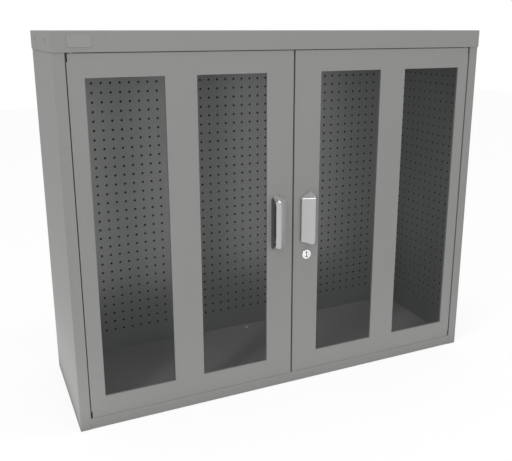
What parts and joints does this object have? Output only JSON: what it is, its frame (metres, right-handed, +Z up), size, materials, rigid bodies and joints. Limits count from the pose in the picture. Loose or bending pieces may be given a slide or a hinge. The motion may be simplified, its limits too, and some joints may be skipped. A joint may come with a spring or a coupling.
{
  "type": "pegboard wall cabinet",
  "caption": "Grey steel wall cabinet with pegboard inside its back and sides, a pair of hinged doors with tall clear windows, pull handles and a cam lock.",
  "frame": {"origin": "middle of the base, under the centre of the whole outline with the handles", "axes": "+X to the right seen from the front, -Y out of the door fronts, +Z up"},
  "size_m": [1.1416, 0.3946, 0.94],
  "materials": {
    "body_paint": "satin grey powder coat",
    "liner_paint": "grey powder coat, punched with a square grid of holes",
    "handle_silver": "smooth silver-grey paint on a casting",
    "chrome_metal": "bright plate",
    "zinc_steel": "zinc plated",
    "clear_sheet": "clear polycarbonate",
    "black_rubber": "matte",
    "nylon": "moulded",
    "plain_plate": "plain plate, left bare"
  },
  "bodies": {
    "cabinet": {"left_side_panel": "body_paint", "right_side_panel": "body_paint", "bottom_pan": "body_paint", "floor_rivet": "chrome_metal", "header_channel": "body_paint", "back_panel": "body_paint", "top_cap": "body_paint", "label_plate": "plain_plate", "back_pegboard": "liner_paint", "left_pegboard": "liner_paint", "right_pegboard": "liner_paint", "liner_screw_left_lower": "zinc_steel", "liner_screw_left_upper": "zinc_steel", "liner_screw_right_lower": "zinc_steel", "liner_screw_right_upper": "zinc_steel", "left_hinge_plate_upper": "zinc_steel", "left_hinge_pin_upper": "zinc_steel", "left_hinge_plate_lower": "zinc_steel", "left_hinge_pin_lower": "zinc_steel", "left_magnetic_catch": "nylon", "left_door_stop": "black_rubber", "right_hinge_plate_upper": "zinc_steel", "right_hinge_pin_upper": "zinc_steel", "right_hinge_plate_lower": "zinc_steel", "right_hinge_pin_lower": "zinc_steel", "right_magnetic_catch": "nylon", "right_door_stop": "black_rubber"},
    "left_door": {"left_door_shell": "body_paint", "left_pane_inner": "clear_sheet", "left_pane_outer": "clear_sheet", "left_pane_frame_inner": "body_paint", "left_pane_frame_outer": "body_paint", "left_handle": "handle_silver", "left_handle_screw_lower": "zinc_steel", "left_handle_screw_upper": "zinc_steel", "left_door_bush_upper": "nylon", "left_door_bush_lower": "nylon", "bolt_guide": "zinc_steel"},
    "right_door": {"right_door_shell": "body_paint", "right_pane_inner": "clear_sheet", "right_pane_outer": "clear_sheet", "right_pane_frame_inner": "body_paint", "right_pane_frame_outer": "body_paint", "right_handle": "handle_silver", "right_handle_screw_lower": "zinc_steel", "right_handle_screw_upper": "zinc_steel", "right_door_bush_upper": "nylon", "right_door_bush_lower": "nylon", "lock_housing": "chrome_metal", "lock_nut": "zinc_steel"},
    "lock_core": {"lock_plug": "chrome_metal", "lock_cam": "zinc_steel", "cam_screw": "zinc_steel"},
    "bolt": {"slide_bolt": "zinc_steel"}
  },
  "joints": [
    {"name": "left_door_hinge", "type": "hinge", "parent": "cabinet", "child": "left_door", "pos_m": [-0.5297, -0.16015, 0], "axis": [0, 0, -1], "range_deg": [0, 120]},
    {"name": "right_door_hinge", "type": "hinge", "parent": "cabinet", "child": "right_door", "pos_m": [0.5297, -0.16015, 0], "axis": [0, 0, 1], "range_deg": [0, 120]},
    {"name": "lock_turn", "type": "hinge", "parent": "right_door", "child": "lock_core", "pos_m": [0.04, -0.16765, 0.366], "axis": [0, 1, 0], "range_deg": [0, 90]},
    {"name": "bolt_slide", "type": "slide", "parent": "left_door", "child": "bolt", "axis": [0, 0, 1], "range_m": [0, 0.012]}
  ]
}
